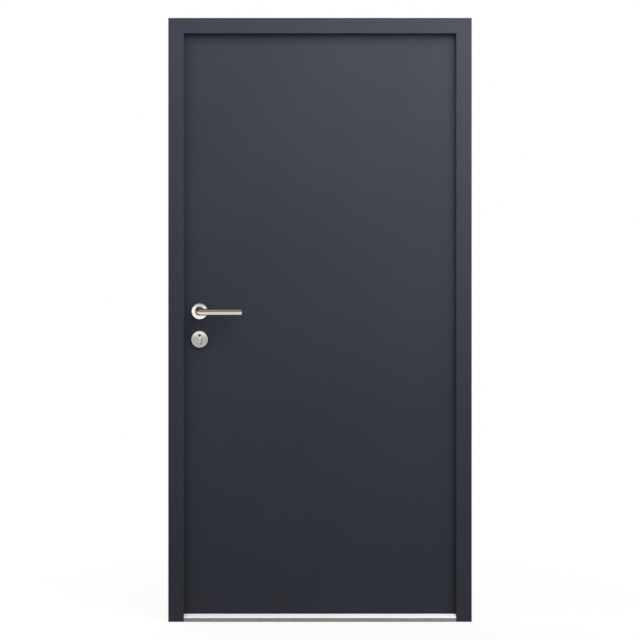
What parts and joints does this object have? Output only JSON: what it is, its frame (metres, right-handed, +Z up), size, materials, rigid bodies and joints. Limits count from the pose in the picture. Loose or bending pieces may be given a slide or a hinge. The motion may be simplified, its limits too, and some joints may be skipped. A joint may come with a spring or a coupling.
{
  "type": "exterior door set",
  "caption": "Plain anthracite exterior door in an aluminium frame, with a straight steel lever on a round rosette, a cylinder rosette and a low aluminium threshold.",
  "frame": {"origin": "underside of the threshold, at mid width of the frame and mid depth of its profile", "axes": "+X to the right seen from outside, +Y from outside to inside, +Z up"},
  "size_m": [1, 0.187, 1.99],
  "materials": {
    "frame_paint": "satin",
    "leaf_paint": "satin",
    "threshold_aluminium": "satin",
    "insulating_plastic": "matte",
    "seal_rubber": "matte",
    "core_foam": "matte",
    "handle_steel": "satin",
    "hinge_metal": "satin",
    "lock_steel": "satin",
    "cylinder_nickel": "satin"
  },
  "bodies": {
    "frame": {"lock_jamb_outer_shell": "frame_paint", "lock_jamb_inner_shell": "frame_paint", "lock_jamb_thermal_break": "insulating_plastic", "lock_jamb_seal": "seal_rubber", "head_outer_shell": "frame_paint", "head_inner_shell": "frame_paint", "head_thermal_break": "insulating_plastic", "head_seal": "seal_rubber", "hinge_jamb_outer_shell": "frame_paint", "hinge_jamb_inner_shell": "frame_paint", "hinge_jamb_thermal_break": "insulating_plastic", "hinge_jamb_seal": "seal_rubber", "threshold_nose": "threshold_aluminium", "threshold_thermal_break": "insulating_plastic", "threshold_tread": "threshold_aluminium", "threshold_seal": "seal_rubber", "strike_plate": "lock_steel", "upper_hinge_frame_knuckles": "hinge_metal", "middle_hinge_frame_knuckles": "hinge_metal", "lower_hinge_frame_knuckles": "hinge_metal", "hinge_pins": "hinge_metal"},
    "leaf": {"leaf_outer_skin": "leaf_paint", "leaf_inner_skin": "leaf_paint", "leaf_core": "core_foam", "leaf_thermal_break": "insulating_plastic", "leaf_seal_lock_side": "seal_rubber", "leaf_seal_top": "seal_rubber", "leaf_seal_hinge_side": "seal_rubber", "mortise_lock": "lock_steel", "latch_bolt": "lock_steel", "dead_bolt": "lock_steel", "outside_lever_rosette": "handle_steel", "inside_lever_rosette": "handle_steel", "outside_cylinder_rosette": "handle_steel", "inside_cylinder_rosette": "handle_steel", "lock_cylinder": "cylinder_nickel", "outside_key_plug": "cylinder_nickel", "inside_key_plug": "cylinder_nickel", "upper_hinge_leaf_knuckle": "hinge_metal", "middle_hinge_leaf_knuckle": "hinge_metal", "lower_hinge_leaf_knuckle": "hinge_metal"},
    "handle": {"outside_lever": "handle_steel", "inside_lever": "handle_steel", "spindle": "lock_steel"}
  },
  "joints": [
    {"name": "leaf_swing", "type": "hinge", "parent": "frame", "child": "leaf", "pos_m": [0.4925, 0.0465, 0.995], "axis": [0, 0, -1], "range_deg": [0, 110]},
    {"name": "handle_turn", "type": "hinge", "parent": "leaf", "child": "handle", "pos_m": [-0.398, 0.0175, 1.024], "axis": [0, 1, 0], "range_deg": [0, 40], "stiffness_Nm_per_rad": 1.5, "springref_deg": -34.38}
  ]
}
